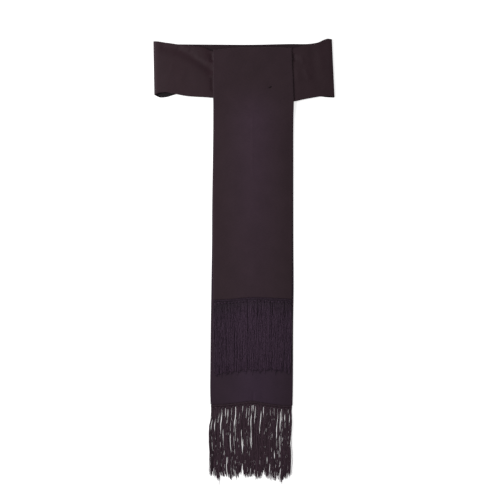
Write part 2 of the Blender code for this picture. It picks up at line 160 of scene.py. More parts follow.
# The band lies pressed under the falls
PRESSED_LEFT, PRESSED_RIGHT, PRESSED_FADE = -0.093, 0.1, 0.005
BAND_CREASES = table(
    CREASE_COLUMNS,
    (-0.23, 0.002, -0.19, 0.009, 0.014, -0.0012),
    (-0.19, 0.009, -0.165, 0.02, 0.0125, -0.0018),
    (-0.165, 0.02, -0.142, 0.035, 0.012, -0.0022),
    (-0.142, 0.035, -0.12, 0.051, 0.012, -0.0021),
    (-0.12, 0.051, -0.102, 0.067, 0.011, -0.0016),
    (-0.142, 0.026, -0.118, 0.04, 0.0045, 0.0006),
    (-0.175, 0.004, -0.158, 0.012, 0.0055, 0.0006),
    (-0.102, 0.02, -0.101, 0.041, 0.0055, -0.0014),
    (-0.102, 0.082, -0.102, 0.115, 0.005, -0.0014),
    (-0.21, 0.06, -0.17, 0.076, 0.024, 0.0006),
    (0.105, 0.023, 0.108, 0.04, 0.007, -0.0016),
    (0.113, 0.06, 0.115, 0.09, 0.006, 0.0004),
    (0.125, 0.027, 0.13, 0.047, 0.005, 0.0006),
    (0.133, 0.062, 0.143, 0.085, 0.0055, 0.0007),
    (0.153, 0.005, 0.16, 0.09, 0.011, -0.0008),
    (0.175, 0.025, 0.178, 0.06, 0.009, 0.0004),
)

# lift is the height of a fall's middle layer at its sides, ridge how far its centre crease rises
SECTION_COLUMNS = "drop left right lift ridge"
LONG_FALL = table(
    SECTION_COLUMNS,
    (0.02, -0.0925, 0.098, BEHIND, 0.0),
    (0.07, -0.0925, 0.1005, BEHIND, 0.0),
    (0.112, -0.0925, 0.102, BEHIND, 0.0),
    (0.128, -0.0983, 0.1028, BEHIND, 0.0),
    (0.137, -0.0985, 0.103, BEHIND, 0.0),
    (0.146, -0.0983, 0.1028, 0.0024, 0.0005),
    (0.156, -0.0983, 0.1028, 0.0016, 0.0016),
    (0.168, -0.0983, 0.1026, 0.001, 0.0029),
    (0.182, -0.0983, 0.1026, BACK, 0.0039),
    (0.225, -0.0985, 0.1023, BACK, 0.0047),
    (0.3, -0.0995, 0.1023, BACK, 0.0047),
    (0.4, -0.101, 0.1023, BACK, 0.004),
    (0.5, -0.1015, 0.1025, BACK, 0.0034),
    (0.6, -0.103, 0.103, BACK, 0.003),
    (0.7, -0.1045, 0.1018, BACK, 0.003),
    (0.8, -0.1055, 0.1015, BACK, 0.0034),
    (0.86, -0.106, 0.101, BACK, 0.004),
    (0.897, -0.105, 0.1002, BACK, 0.0044),
)
SHORT_FALL = table(
    SECTION_COLUMNS,
    (0.008, -0.0985, 0.098, BEFORE, 0.0),
    (0.06, -0.0985, 0.1, BEFORE, 0.0),
    (0.138, -0.0982, 0.1035, BEFORE, 0.0003),
    (0.15, -0.098, 0.1033, 0.0062, 0.0008),
    (0.162, -0.098, 0.103, 0.0052, 0.0019),
    (0.175, -0.098, 0.1026, 0.004, 0.0032),
    (0.19, -0.098, 0.1022, 0.003, 0.0041),
    (0.21, -0.0982, 0.102, BEHIND, 0.0047),
    (0.3, -0.0985, 0.101, BEHIND, 0.0047),
    (0.4, -0.0985, 0.1005, BEHIND, 0.004),
    (0.5, -0.0985, 0.0995, BEHIND, 0.0034),
    (0.6, -0.098, 0.0985, BEHIND, 0.003),
    (0.636, -0.0975, 0.098, BEHIND, 0.003),
)

# The cross-section of the centre crease: how far across, and the share of its height
ridge_share = curve(
    (-0.1, 0.0), (-0.08, 0.2), (-0.06, 0.43), (-0.04, 0.66), (-0.02, 0.86), (-0.006, 0.97),
    (0.003, 1.0), (0.012, 0.975), (0.03, 0.885), (0.05, 0.76), (0.07, 0.61), (0.083, 0.46),
    (0.092, 0.26), (0.1015, 0.0),
)

# The hems: how far across, and the drop
long_hem = curve(
    (-0.106, 0.899), (-0.07, 0.8975), (-0.03, 0.893), (0.0, 0.8895), (0.024, 0.8935),
    (0.058, 0.8985), (0.102, 0.902),
)
short_hem = curve(
    (-0.099, 0.637), (-0.055, 0.635), (-0.03, 0.6325), (0.0, 0.6305), (0.035, 0.6315), (0.1, 0.635),
)
SEAM_BEHIND_BAND = 0.012  # how far the turned-over cloth reaches behind the front layer
SLACK_OVER_EDGE = 0.0004

# The fold where the falls step off the waistband throws a few soft creases across them
FALL_CREASES = table(
    CREASE_COLUMNS,
    (-0.061, 0.115, 0.004, 0.193, 0.007, 0.0003),
    (-0.001, 0.17, 0.0, 0.33, 0.002, 0.00025),
    (-0.09, 0.16, -0.045, 0.195, 0.012, -0.0003),
    (0.035, 0.155, 0.08, 0.19, 0.014, -0.0003),
    (-0.09, 0.06, -0.03, 0.075, 0.02, 0.0003),
    (0.01, 0.03, 0.085, 0.085, 0.022, -0.0002),
    (-0.076, 0.28, -0.064, 0.52, 0.015, -0.0002),
    (0.042, 0.33, 0.05, 0.57, 0.018, -0.0002),
)
LONG_FALL_CREASES = table(
    CREASE_COLUMNS,
    (-0.06, 0.83, -0.052, 0.896, 0.013, 0.0002),
    (0.05, 0.825, 0.056, 0.896, 0.014, 0.0002),
    (-0.03, 0.87, -0.028, 0.892, 0.007, -0.0002),
    (0.026, 0.87, 0.024, 0.892, 0.007, -0.0002),
    (0.0016, 0.87, 0.0018, 0.89, 0.0018, -0.001),  # the hem is drawn up here
)

# The stitch that holds the falls to the waistband pulls each layer down a little
SHORT_DIMPLE, FRONT_DIMPLE, LONG_DIMPLE = 0.0005, 0.0004, 0.0002
TACK_ACROSS, TACK_DROP, TACK_REACH = 0.0438, 0.106, 0.005

# The cloth as it was cut: width and length, without what is turned in
BAND_CUT = (0.9086, 0.137)
LONG_CUT = (0.205, 0.876)
SHORT_CUT = (0.1985, 0.648)
EDGE_ROUNDING, EDGE_SEGMENTS, EDGE_ANGLE = 0.0005, 2, math.radians(50)
MERGE_DISTANCE = 1e-6

# Smooth noise: its waves for each metre across and along, and an offset that sets the kinds apart
BROAD, SMALL, DRIFT, SWAY, BEND, CRIMP, LOFT = table(
    "across along offset",
    (11, 7, 3.1),  # two for cloth
    (38, 26, 8.7),
    (60, 15, 1.7),  # bundles that lie side by side
    (1, 22, 5.3),  # from here on, across is a lock's or a strand's own place in the noise
    (1, 42, 0.4),
    (1, 110, 9.4),
    (1, 95, 2.2),
)
# How high the broad and the small waves of the cloth are
BAND_SLACK, FALL_SLACK = (0.0005, 0.0002), (0.0004, 0.00014)


def eased(share):
    """0 to 1 with level ends."""
    share = min(1.0, max(0.0, share))
    return share * share * (3 - 2 * share)


def mixed(low, high, share):
    """low at share 0, high at share 1."""
    return low + (high - low) * share


def point(across, drop, height):
    """A place in the frame."""
    return Vector((FALLS_X + across, LEVEL_Y - drop, height))


def crease_height(creases, across, drop):
    """What the creases add to the cloth's height at a point."""
    total = 0.0
    for crease in creases:
        run_x, run_y = crease.to_across - crease.across, crease.to_drop - crease.drop
        from_x, from_y = across - crease.across, drop - crease.drop
        share = (from_x * run_x + from_y * run_y) / (run_x * run_x + run_y * run_y)
        if not -CREASE_RUN_OUT < share < 1 + CREASE_RUN_OUT:
            continue
        aside = math.hypot(from_x - run_x * share, from_y - run_y * share)
        fade_in = eased((share + CREASE_RUN_OUT) / (2 * CREASE_RUN_OUT))
        fade_out = eased((1 + CREASE_RUN_OUT - share) / (2 * CREASE_RUN_OUT))
        total += crease.height * fade_in * fade_out * math.exp(-((aside / crease.half_width) ** 2))
    return total


def ripple(waves, across, along):
    """Smooth noise from about -1 to 1."""
    return noise.noise(Vector((across * waves.across, along * waves.along, waves.offset)))


def slackness(heights, across, drop):
    """The slight unevenness of cloth that has been worn."""
    return heights[0] * ripple(BROAD, across, drop) + heights[1] * ripple(SMALL, across, drop)


def tack_dimple(depth, across, drop):
    """How far the tack pulls a layer down at a point."""
    aside = math.hypot(across - TACK_ACROSS, drop - TACK_DROP)
    return depth * math.exp(-((aside / TACK_REACH) ** 2))


def draw_cloth(name, node, material, columns, rows, place, cut_size, closes=False):
    """A piece of cloth from a flat grid whose point (column, row) goes to place(column, row).

    Its UV map "cut" is the cloth as it was cut, in metres. Half of its thickness goes to each side,
    and its turned edges are rounded.
    """
    width, length = cut_size
    bm = bmesh.new()
    cut = bm.loops.layers.uv.new("cut")
    bmesh.ops.create_grid(bm, x_segments=columns, y_segments=rows, size=1.0)
    shares = {vert: ((vert.co.x + 1) / 2, (vert.co.y + 1) / 2) for vert in bm.verts}
    for face in bm.faces:
        face.smooth = True
        for loop in face.loops:
            along, up = shares[loop.vert]
            loop[cut].uv = (along * width, up * length)
    for vert, (along, up) in shares.items():
        vert.co = place(round(along * columns), round(up * rows))
    if closes:
        bmesh.ops.remove_doubles(bm, verts=bm.verts, dist=MERGE_DISTANCE)
        bmesh.ops.recalc_face_normals(bm, faces=bm.faces)
    obj = new_piece(name, bm)
    wall = obj.modifiers.new("wall", "SOLIDIFY")
    wall.thickness = SHELL
    wall.offset = 0.0
    wall.use_even_offset = True
    rounded = obj.modifiers.new("turned edges", "BEVEL")
    rounded.width, rounded.segments = EDGE_ROUNDING, EDGE_SEGMENTS
    rounded.limit_method, rounded.angle_limit = "ANGLE", EDGE_ANGLE
    return settle(obj, material, node)


def new_object(name, data):
    obj = bpy.data.objects.new(name, data)
    bpy.context.scene.collection.objects.link(obj)
    return obj


def new_piece(name, bm):
    mesh = bpy.data.meshes.new(name)
    bm.to_mesh(mesh)
    bm.free()
    return new_object(name, mesh)


def settle(obj, material, node=None):
    """Gives a piece its finish, hangs it on the root body, and hides the solid it stands for."""
    obj.data.materials.append(material)
    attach(obj, "root")
    if node:
        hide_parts(node)
    return obj


# Materials

# Dyes, at their darkest and at their lightest. The band and the falls are one faille: the
# difference in lightness between their dyes is painted light and shade, for ribs that run the other
# way.
BAND_DYE = (0.0225, 0.01, 0.014), (0.039, 0.0178, 0.0249)
SHORT_DYE = (0.0288, 0.0166, 0.0212), (0.0495, 0.0286, 0.0367)
LONG_DYE = (0.0282, 0.0162, 0.0252), (0.0484, 0.0278, 0.0434)
# The inner face of the waistband's loop is a darker copy of the band faille: painted shade
INNER_FACE_SHADE_DYE = (0.015, 0.0057, 0.009), (0.025, 0.0108, 0.0162)
SHORT_YARN_DYE = (0.0152, 0.0072, 0.0142), (0.0608, 0.032, 0.06)
LONG_YARN_DYE = (0.0157, 0.0075, 0.0118), (0.0655, 0.0348, 0.051)
THREAD_DYE = (0.009, 0.0036, 0.0056), (0.023, 0.0096, 0.014)
LIP_PAINTED_SHADE = 0.27  # painted shade: the inner face is darker still along the loop's lower edge, deep inside
LIP_SHADE_WIDTH = 0.012
RIB_PITCH = 0.0011
WAVE_BANDS = 20 / math.tau  # bands for each metre of a wave texture with a scale of 1
ALONG_RIBS, OVER_RIBS = 1.3, 9.0  # how fine the slubs are
# The shades that give the darkest and the lightest dye
FAILLE_TONES, YARN_TONES = (0.3, 0.85), (0.25, 1.0)
YARN_TWIST = 0.0032

# How a cloth shines: its specular level, its roughness where it is smoothest and roughest, and how
# much tighter the shine is along a rib than over the ribs
Gloss = namedtuple("Gloss", "specular smoothest roughest silkiness")
BAND_GLOSS = Gloss(0.16, 0.46, 0.58, 0.7)
FALL_GLOSS = Gloss(0.14, 0.44, 0.52, 0.4)
QUARTER_TURN = 0.25

# Painted sheen: a fall's colour is made paler along its ridge, as its highlight, most just below
# the waistband, and less at the hem. The places are measured up from the hem on the cut cloth.
PaintedSheen = namedtuple("PaintedSheen", "middle half_width none_from most_at most at_hem")
SHORT_PAINTED_SHEEN = PaintedSheen(0.1025, 0.09, 0.525, 0.42, 0.42, 0.15)
LONG_PAINTED_SHEEN = PaintedSheen(0.111, 0.095, 0.8, 0.7, 0.27, 0.27)
PAINTED_SHEEN_TINT = (0.88, 0.88, 1.4)  # the painted sheen turns a little towards violet


class Nodes:
    """Short words for building a material."""

    def __init__(self, name):
        self.material = bpy.data.materials.new(name)
        self.material.use_nodes = True
        self.tree = self.material.node_tree
        self.shader = self.tree.nodes["Principled BSDF"]

    def add(self, kind, inputs=None, **settings):
        node = self.tree.nodes.new(kind)
        for key, value in settings.items():
            setattr(node, key, value)
        self.feed(node, inputs or {})
        return node

    def feed(self, node, inputs):
        for key, value in inputs.items():
            if isinstance(value, bpy.types.NodeSocket):
                self.tree.links.new(value, node.inputs[key])
            else:
                node.inputs[key].default_value = value

    def math(self, operation, first, second=0.0):
        return self.add("ShaderNodeMath", {0: first, 1: second}, operation=operation).outputs[0]

    def noise(self, place, scale, detail=2.0, stretch=(1.0, 1.0, 1.0)):
        place = self.add("ShaderNodeMapping", {"Vector": place, "Scale": stretch}).outputs["Vector"]
        values = {"Vector": place, "Scale": scale, "Detail": detail}
        return self.add("ShaderNodeTexNoise", values).outputs["Fac"]

    def between(self, value, low, high, at_low, at_high, smooth=False):
        """at_low where the value is low, at_high where it is high."""
        ends = {"From Min": low, "From Max": high, "To Min": at_low, "To Max": at_high}
        kind = "SMOOTHSTEP" if smooth else "LINEAR"
        node = self.add("ShaderNodeMapRange", {"Value": value, **ends}, interpolation_type=kind)
        return node.outputs["Result"]

    def vector(self, operation, first, second, output="Vector"):
        node = self.add("ShaderNodeVectorMath", {0: first, 1: second}, operation=operation)
        return node.outputs[output]

    def summed(self, *parts):
        """The sum of some values, each times its share."""
        parts = [self.math("MULTIPLY", value, share) for value, share in parts]
        total = parts.pop(0)
        for part in parts:
            total = self.math("ADD", total, part)
        return total

    def dyed(self, shade, ends, dye):
        """The dye's colour, darkest where the shade is at the first end, lightest at the second."""
        node = self.add("ShaderNodeValToRGB", {"Fac": shade})
        for element, position, colour in zip(node.color_ramp.elements, ends, dye):
            element.position, element.color = position, (*colour, 1.0)
        return node.outputs["Color"]

    def finish(self, colour, bump, surface):
        normal = self.add("ShaderNodeBump", bump).outputs["Normal"]
        sheen = {"Sheen Roughness": 0.45, "Sheen Tint": (0.72, 0.58, 0.66, 1.0)}
        self.feed(self.shader, {"Base Color": colour, "Normal": normal, **sheen, **surface})
        return self.material


def faille_material(name, rib_axis, dye, gloss, shaded_lip=False, painted_sheen=None):
    """Fine cross ribs with a soft sheen, side by side along rib_axis of the cut cloth."""
    nodes = Nodes(name)
    cut = nodes.add("ShaderNodeUVMap", uv_map="cut").outputs["UV"]
    wave = {
        "Vector": cut,
        "Scale": 1 / (WAVE_BANDS * RIB_PITCH),
        "Distortion": 0.9,
        "Detail Scale": 0.08,
    }
    ribs = nodes.add("ShaderNodeTexWave", wave, bands_direction=rib_axis).outputs["Fac"]
    stretch = (OVER_RIBS, ALONG_RIBS, 1.0) if rib_axis == "X" else (ALONG_RIBS, OVER_RIBS, 1.0)
    slub = nodes.noise(cut, scale=100.0, detail=3.0, stretch=stretch)
    mottle = nodes.noise(cut, scale=24.0, detail=4.0)
    shade = nodes.summed((ribs, 0.3), (slub, 0.45), (mottle, 0.35))
    colour = nodes.dyed(shade, FAILLE_TONES, dye)
    places = nodes.add("ShaderNodeSeparateXYZ", {"Vector": cut}).outputs
    # painted shade along the lower edge of the loop's inner face, deep inside the loop
    if shaded_lip:
        above_lip = nodes.math("GREATER_THAN", places["Y"], LIP_SHADE_WIDTH)
        shaded = nodes.between(above_lip, 0.0, 1.0, LIP_PAINTED_SHADE, 1.0)
        colour = nodes.vector("MULTIPLY", colour, shaded)
    # painted sheen: paler and more violet along the fall's ridge, as its highlight
    if painted_sheen:
        aside = nodes.math("ABSOLUTE", nodes.math("SUBTRACT", places["X"], painted_sheen.middle))
        on_ridge = nodes.between(aside, 0.0, painted_sheen.half_width, 1.0, 0.0, smooth=True)
        below = nodes.between(places["Y"], painted_sheen.most_at, painted_sheen.none_from, 1.0, 0.0, smooth=True)
        sheen_strength = nodes.between(places["Y"], 0.0, painted_sheen.most_at, painted_sheen.at_hem, painted_sheen.most)
        sheen_share = nodes.math("MULTIPLY", nodes.math("MULTIPLY", on_ridge, below), sheen_strength)
        paler = nodes.vector("ADD", nodes.vector("MULTIPLY", PAINTED_SHEEN_TINT, sheen_share), (1.0, 1.0, 1.0))
        colour = nodes.vector("MULTIPLY", colour, paler)
    across_cut = nodes.add("ShaderNodeTangent", direction_type="UV_MAP", uv_map="cut")
    rise = nodes.summed((ribs, 1.0), (slub, 0.8))
    return nodes.finish(
        colour,
        {"Height": rise, "Distance": 0.00018, "Strength": 0.11},
        {
            "Roughness": nodes.between(slub, 0.0, 1.0, gloss.smoothest, gloss.roughest),
            "Specular IOR Level": gloss.specular,
            "Sheen Weight": 0.03,
            "Tangent": across_cut.outputs["Tangent"],
            "Anisotropic": gloss.silkiness,
            "Anisotropic Rotation": 0.0 if rib_axis == "X" else QUARTER_TURN,
        },
    )


def yarn_material(name, dye):
    """Twisted fringe yarn: each strand has its own shade, and its plies wind round it."""
    nodes = Nodes(name)
    own_shade, run, ply = (
        nodes.add("ShaderNodeAttribute", attribute_name=attribute).outputs
        for attribute in ("yarn_shade", "yarn_run", "yarn_ply")
    )
    wound = nodes.math("MULTIPLY", run["Fac"], math.tau / YARN_TWIST)
    turn = {"X": nodes.math("COSINE", wound), "Y": nodes.math("SINE", wound)}
    turned = nodes.add("ShaderNodeCombineXYZ", turn).outputs["Vector"]
    plies = nodes.vector("DOT_PRODUCT", ply["Vector"], turned, "Value")
    place = nodes.add("ShaderNodeTexCoord").outputs["Object"]
    fuzz, frayed = nodes.noise(place, scale=1400.0), nodes.noise(place, scale=420.0)
    shade = nodes.summed((own_shade["Fac"], 1.0), (plies, 0.14), (fuzz, 0.25), (frayed, 0.6))
    rise = nodes.summed((plies, 0.5), (fuzz, 1.0))
    return nodes.finish(
        nodes.dyed(shade, YARN_TONES, dye),
        {"Height": rise, "Distance": 0.0002, "Strength": 0.5},
        {"Roughness": 0.62, "Specular IOR Level": 0.22, "Sheen Weight": 0.06},
    )


# Waistband

FRONT_COLUMNS, BACK_COLUMNS, FOLD_STEPS, BAND_ROWS = 200, 90, 8, 60
FOLD_ZONE = 0.05
SEAM_ALLOWANCE, ALLOWANCE_RISE, ALLOWANCE_FADE = 0.0085, 0.00012, 0.002

front_upper, front_lower, front_height = curves_through(BAND_FRONT)
back_upper, back_lower = curves_through(BAND_BACK)


def loop_stations():
    """Round the loop: the share of its width from the left, and the angle, 90 front, -90 back."""
    stations = [(i / FRONT_COLUMNS, 90.0) for i in range(FRONT_COLUMNS + 1)]
    stations += [(1.0, 90.0 - 180.0 * i / FOLD_STEPS) for i in range(1, FOLD_STEPS)]
    stations += [(1 - i / BACK_COLUMNS, -90.0) for i in range(BACK_COLUMNS + 1)]
    stations += [(0.0, -90.0 + 180.0 * i / FOLD_STEPS) for i in range(1, FOLD_STEPS)]
    seam = FRONT_COLUMNS // 2  # the grid starts and ends under the falls
    return stations[seam:] + stations[: seam + 1]


def allowance_rise(from_edge):
    """The cloth is a little thicker over the seam allowances turned in at its edges."""
    return ALLOWANCE_RISE * (1 - eased((from_edge - SEAM_ALLOWANCE) / ALLOWANCE_FADE))


def band_relief(across, drop, along_share):
    """Creases and unevenness of the front layer, which die out at the folds and under the falls."""
    clear_of_folds = eased(min(along_share, 1 - along_share) / FOLD_ZONE)
    clear_of_falls = eased(max(PRESSED_LEFT - across, across - PRESSED_RIGHT) / PRESSED_FADE)
    relief = crease_height(BAND_CREASES, across, drop) + slackness(BAND_SLACK, across, drop)
    from_edge = min(drop - front_upper(across), front_lower(across) - drop)
    return relief * clear_of_folds * clear_of_falls + allowance_rise(from_edge)


def make_waistband(material, inner_face_shaded):
    stations = loop_stations()
    first, last = BAND_FRONT[0].across, BAND_FRONT[-1].across
    left_radius = (BAND_FRONT[0].height - HALF_CLOTH) / 2
    right_radius = (BAND_FRONT[-1].height - HALF_CLOTH) / 2

    def place(column, row):
        along_share, angle = stations[column]
        row_share = row / BAND_ROWS
        across = mixed(first, last, along_share)
        front_share = (1 + math.sin(math.radians(angle))) / 2
        upper = mixed(back_upper(across), front_upper(across), front_share)
        lower = mixed(back_lower(across), front_lower(across), front_share)
        drop = mixed(lower, upper, row_share)
        radius = (front_height(across) - HALF_CLOTH) / 2
        left = mixed(*LEFT_FOLD, row_share) + left_radius
        right = mixed(*RIGHT_FOLD, row_share) - right_radius
        outwards = math.cos(math.radians(angle)) * radius * (1 if along_share > 0.5 else -1)
        height = HALF_CLOTH + 2 * radius * front_share
        if angle == 90.0:
            height += band_relief(across, drop, along_share)
            height -= tack_dimple(FRONT_DIMPLE, across, drop)
        return point(mixed(left, right, along_share) + outwards, drop, height)

    grid = (len(stations) - 1, BAND_ROWS, place, BAND_CUT)
    obj = draw_cloth("waistband_cloth", "waistband", material, *grid, closes=True)
    # the loop's inner faces take the darker copy of the faille, as painted shade
    obj.data.materials.append(inner_face_shaded)
    obj.modifiers["wall"].material_offset = 1
    return obj


# Falls

FALL_COLUMNS = 84
FALL_STEP = 0.0038
WRAP_STEPS, SEAM_STEPS = 10, 4  # rows round the waistband's upper edge, and down behind it
TOP_ZONE = 0.08  # how far down a fall its rows still follow its slanting upper edge
FREE_AFTER = 0.03  # how far below that edge its creases have grown to their full height
HEM_TURN, HEM_RISE, HEM_FADE = 0.03, 0.00014, 0.003
SIDE_DROOP, SIDE_ZONE = 0.00008, 0.003
SLACK_RISE = 0.0002


def turn_drop(across):
    """The drop of the line that the falls turn round, just above the front layer's upper edge."""
    return front_upper(across) - SLACK_OVER_EDGE


def seam_drop(across):
    """The drop of the seam that joins the falls behind the waistband's front layer."""
    return turn_drop(across) + SEAM_BEHIND_BAND + GAP


class Fall:
    """The surface of a fall: where its cloth lies at a drop and a share of its width."""

    def __init__(self, sections, hem, creases, top, tack):
        self.start, self.end = sections[0].drop, sections[-1].drop
        self.left, self.right, self.lift, self.ridge = curves_through(sections)
        self.hem, self.creases, self.top, self.tack = hem, creases, top, tack

    def rows(self):
        """Even drops from the hem up to the first section."""
        count = math.ceil((self.end - self.start) / FALL_STEP)
        return [mixed(self.end, self.start, i / count) for i in range(count + 1)]

    def relief(self, across, drop, from_side, from_end):
        """Creases, seam allowances and unevenness, alike on both falls, which lie in each other."""
        total = SLACK_RISE + slackness(FALL_SLACK, across, drop)
        total += crease_height(self.creases, across, drop)
        total += allowance_rise(from_side)
        total += HEM_RISE * (1 - eased((from_end - HEM_TURN) / HEM_FADE))
        return total - SIDE_DROOP * (1 - eased(from_side / SIDE_ZONE))

    def stretch(self, across):
        """How much longer the fall is here than its sections, since its hem isn't straight."""
        return (self.hem(across) - self.start) / (self.end - self.start)

    def at(self, drop, side_share):
        """A place on the middle of the cloth."""
        across = mixed(self.left(drop), self.right(drop), side_share)
        slant = (self.top(across) - self.start) * (1 - eased((drop - self.start) / TOP_ZONE))
        laid_drop = self.start + (drop - self.start) * self.stretch(across) + slant
        from_side = (1 - abs(2 * side_share - 1)) * (self.right(drop) - self.left(drop)) / 2
        relief = self.relief(across, laid_drop, from_side, self.end - drop)
        free = self.ridge(drop) * ridge_share(across)
        if relief < 0:
            room = free + SLACK_RISE
            relief = -room * math.tanh(-relief / room)
        relief *= eased((drop - self.start) / FREE_AFTER)
        dimple = tack_dimple(self.tack, across, laid_drop)
        return point(across, laid_drop, self.lift(drop) + free + relief - dimple)

    def over(self, across, laid_drop, above):
        """A place over the middle of the cloth, on the stretch below its slanting upper end."""
        drop = self.start + (laid_drop - self.start) / self.stretch(across)
        side_share = (across - self.left(drop)) / (self.right(drop) - self.left(drop))
        return self.at(drop, side_share) + Vector((0, 0, above))


def make_fall(name, node, material, surface, cut_size, turned_rows=0):
    """The cloth of a fall. Its turned rows go over the waistband's front layer."""
    rows = surface.rows()

    def place(column, row):
        side_share = column / FALL_COLUMNS
        step = row - (len(rows) - 1)
        if step <= 0:
            return surface.at(rows[row], side_share)
        across = mixed(surface.left(surface.start), surface.right(surface.start), side_share)
        edge = turn_drop(across)
        if step > WRAP_STEPS:
            behind = (step - WRAP_STEPS) / SEAM_STEPS
            return point(across, edge + SEAM_BEHIND_BAND * behind, BEHIND)
        angle = math.radians(90.0 - 180.0 * step / WRAP_STEPS)
        return point(across, edge - LAYER * math.cos(angle), FRONT + LAYER * math.sin(angle))

    grid = (FALL_COLUMNS, len(rows) - 1 + turned_rows, place, cut_size)
    return draw_cloth(name, node, material, *grid)


# Fringes

BUNDLES = 23
LOCKS = 4  # strands of a bundle that cling together below its knot
STRAND_LAYERS, STRANDS_ABREAST = 3, 2  # in each lock
STRAND_STATIONS = 50
STRAND_SIDES, HIDDEN_SIDES = 5, 4
STRAND_RADIUS = 0.00062
STRAND_LIFT = 0.0001
LAYER_STEP, PACKED_SHARE = 0.001, 0.25  # the layers are packed where the tape holds them
BUNDLE_JITTER, LOCK_JITTER, STRAND_JITTER = 0.12, 0.12, 0.2  # how far each is from its even place
BUNDLE_LENGTHS, LOCK_LENGTHS, STRAND_LENGTHS = 0.0018, 0.0032, 0.0015  # how their lengths scatter
GATHERS, LOOSENESSES = (0.3, 1.3), (0.96, 1.1)  # how tight a bundle is at its knot, how wide below
ANYWHERE = (0, 100)  # in the noise
LONG_TAIL_SHARE, LONG_TAILS = 0.07, (0.002, 0.01)
WANDER_SHARE, WANDER = 0.16, 0.006  # a few strands cross to the next lock
LOOSE_FROM, LOOSE_OVER = 0.008, 0.03  # where the knots let go
DRIFTING, SWAYING, BENDING, CRIMPING = 0.0016, 0.0018, 0.0009, 0.0006  # how far aside
LOFTED, SUNK = 0.0007, 0.9  # how high strands ride up, and how far the layers sink at the tips
VEIL_GATHER = 0.65
TIP_ZONE, TIP_CLING = 0.024, 0.5  # a lock draws together towards its tip
TIP_RADIUS, TAPER_STEPS = 0.6, 3  # a strand's last steps are thinner
HEAD_SHADE, RIDGE_SHADOW = -0.14, 0.75  # the heads are in shadow, less so on the ridge
LIGHT_RARITY = 1.5  # there are fewer light strands than dark ones
HEAD_BELOW = 0.0012  # where the strands begin on the tape
TUCKED_IN = 0.0015  # the tape is sewn in between the two layers of the hem
HEADER_INSET = 0.0015  # how far inside the fall's sides it ends
FRINGE_SETTLE = 0.03  # how far below the hem the fringe has come down to the table

# How far the fringe's sides stray
STRAY_COLUMNS = "below left right"
LONG_STRAY = table(
    STRAY_COLUMNS,
    (0.0, 0.0, 0.0), (0.03, -0.0005, -0.0005), (0.055, -0.0045, -0.001), (0.095, -0.004, -0.0025),
    (0.125, -0.002, -0.001), (0.165, -0.0025, -0.002), (0.19, 0.001, -0.005),
)
SHORT_STRAY = table(
    STRAY_COLUMNS,
    (0.0, 0.0, 0.0), (0.06, -0.0012, 0.001), (0.11, 0.0012, 0.0008), (0.17, 0.0004, -0.002),
)

# The strands: how far across, and the length
long_lengths = curve(
    (-0.103, 0.174), (-0.096, 0.178), (-0.084, 0.1805), (-0.066, 0.181), (-0.054, 0.185),
    (-0.039, 0.1835), (-0.029, 0.179), (-0.021, 0.172), (-0.009, 0.187), (0.006, 0.185),
    (0.024, 0.1845), (0.031, 0.172), (0.044, 0.1825), (0.06, 0.188), (0.066, 0.178), (0.074, 0.189),
    (0.086, 0.181), (0.096, 0.168),
)
short_lengths = curve(
    (-0.098, 0.184), (-0.06, 0.18), (0.0, 0.1795), (0.03, 0.1785), (0.098, 0.1775),
)

# Where the strands part
PARTING_COLUMNS = "across below to_below half_width"
LONG_PARTINGS = table(
    PARTING_COLUMNS,
    (-0.001, 0.006, 0.108, 0.0012), (0.0075, 0.01, 0.06, 0.0009), (0.021, 0.022, 0.075, 0.0008),
    (0.0425, 0.03, 0.062, 0.0007), (0.07, 0.016, 0.062, 0.0011), (0.07, 0.062, 0.128, 0.0006),
    (0.0812, 0.026, 0.074, 0.001), (-0.0612, 0.014, 0.056, 0.0009), (-0.0825, 0.014, 0.042, 0.0007),
    (-0.097, 0.07, 0.112, 0.0008), (-0.069, 0.075, 0.132, 0.0009), (-0.0612, 0.13, 0.19, 0.0018),
    (-0.074, 0.145, 0.185, 0.001), (-0.0375, 0.025, 0.056, 0.0007), (-0.024, 0.092, 0.125, 0.0009),
    (-0.024, 0.155, 0.19, 0.0013), (-0.006, 0.106, 0.142, 0.0009), (0.019, 0.142, 0.168, 0.0008),
    (0.052, 0.072, 0.098, 0.0008), (0.056, 0.104, 0.138, 0.0008), (0.0725, 0.155, 0.195, 0.0015),
    (0.0325, 0.018, 0.05, 0.0007), (0.052, 0.016, 0.042, 0.0006), (0.0325, 0.064, 0.09, 0.0006),
    (0.092, 0.016, 0.044, 0.0007), (-0.05, 0.016, 0.04, 0.0007), (-0.014, 0.014, 0.04, 0.0006),
    (-0.0725, 0.016, 0.038, 0.0006), (-0.085, 0.068, 0.112, 0.0006),
)
SHORT_PARTINGS = table(
    PARTING_COLUMNS,
    (-0.075, 0.01, 0.04, 0.0012), (0.05, 0.005, 0.045, 0.0012),
)
PARTING_REACH = 0.0075
PARTING_FADE = 0.018

# How wide a bundle has spread: how far below, and the share of the distance between bundles
spread = curve(
    (0.0, 1.02), (0.006, 0.99), (0.0095, 0.89), (0.016, 0.85), (0.03, 0.8), (0.045, 0.85),
    (0.065, 0.94), (0.09, 1.02), (0.13, 1.06), (0.16, 0.99), (0.19, 0.9),
)

# Painted light and shade on the yarn: lighter where the fall's ridge lifts it, darker towards the
# sides. How far across, and its tone
ridge_painted_light = curve(
    (-0.1, 0.62), (-0.07, 0.7), (-0.045, 0.9), (-0.015, 1.1), (0.015, 1.16), (0.045, 1.05),
    (0.07, 0.92), (0.1, 0.84),
)

# How much a fringe's strands curl, how far the shadow below its knots reaches, how much painted
# light and shade its tone takes from side to side, the shade of its darkest strand, and how much
# lighter the lightest is
Looks = namedtuple("Looks", "curl shadow fading darkest span")
Bundle = namedtuple("Bundle", "middle gather looseness longer")
Lock = namedtuple("Lock", "bundle slot own length")


